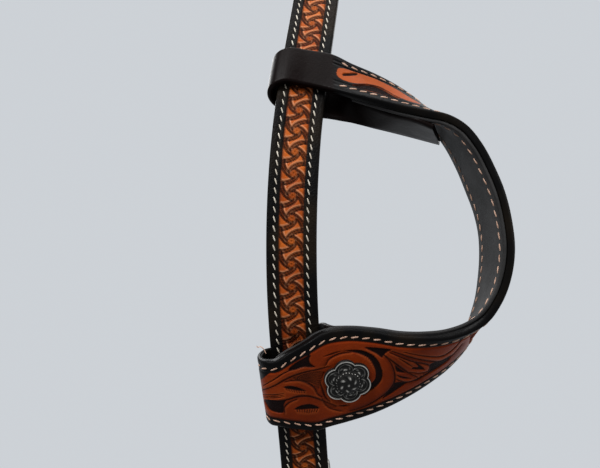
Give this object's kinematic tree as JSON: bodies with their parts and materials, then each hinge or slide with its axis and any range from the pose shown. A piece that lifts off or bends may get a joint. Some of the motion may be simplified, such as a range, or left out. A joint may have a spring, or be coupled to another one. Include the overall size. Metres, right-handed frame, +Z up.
{
  "type": "western one-ear headstall",
  "caption": "Western bridle headstall: a tooled strap over the poll with a sliding looped ear piece, buckled cheeks with keepers, and folded loops for the bit.",
  "frame": {"origin": "middle of the crown's seat on the horse's poll, on the strap's inner face", "axes": "+X towards the horse's nose, +Z up, -Y to the horse's right side, where the ear piece is"},
  "size_m": [0.0929, 0.1881, 0.499],
  "materials": {
    "tan_tooled": "tooled, antiqued and edge-blacked strap leather",
    "black_lining": "smooth blackened lining leather",
    "grey_lining": "charcoal suede-finished lining leather",
    "brown_leather": "plain dark brown leather",
    "old_silver": "antiqued white metal"
  },
  "bodies": {
    "strap": {"crown_face": "tan_tooled", "crown_lining": "black_lining", "right_cheek_face": "tan_tooled", "right_cheek_lining": "black_lining", "right_buckle_frame": "old_silver", "right_fixed_keeper": "brown_leather", "right_bit_concho": "old_silver", "right_bit_screw": "old_silver", "left_cheek_face": "tan_tooled", "left_cheek_lining": "black_lining", "left_buckle_frame": "old_silver", "left_fixed_keeper": "brown_leather", "left_bit_concho": "old_silver", "left_bit_screw": "old_silver"},
    "ear_piece": {"ear_face": "tan_tooled", "ear_lining": "grey_lining", "ear_concho": "old_silver", "ear_screw": "old_silver"},
    "right_tongue": {"right_buckle_tongue": "old_silver"},
    "right_keeper": {"right_sliding_keeper": "brown_leather"},
    "left_tongue": {"left_buckle_tongue": "old_silver"},
    "left_keeper": {"left_sliding_keeper": "brown_leather"}
  },
  "joints": [
    {"name": "ear_piece_slide", "type": "hinge", "parent": "strap", "child": "ear_piece", "pos_m": [-0.0142, 0.1014, -0.13719], "axis": [1, 0, 0], "range_deg": [-3.1, 2.1]},
    {"name": "right_tongue_hinge", "type": "hinge", "parent": "strap", "child": "right_tongue", "pos_m": [-0.00393, -0.05783, -0.29735], "axis": [0.9976, 0, 0.0698], "range_deg": [0, 12]},
    {"name": "right_keeper_slide", "type": "slide", "parent": "strap", "child": "right_keeper", "axis": [0.0698, 0, -0.9976], "range_m": [-0.012, 0.01]},
    {"name": "left_tongue_hinge", "type": "hinge", "parent": "strap", "child": "left_tongue", "pos_m": [-0.00393, 0.05783, -0.29735], "axis": [-0.9976, 0, -0.0698], "range_deg": [0, 12]},
    {"name": "left_keeper_slide", "type": "slide", "parent": "strap", "child": "left_keeper", "axis": [0.0698, 0, -0.9976], "range_m": [-0.012, 0.01]}
  ]
}
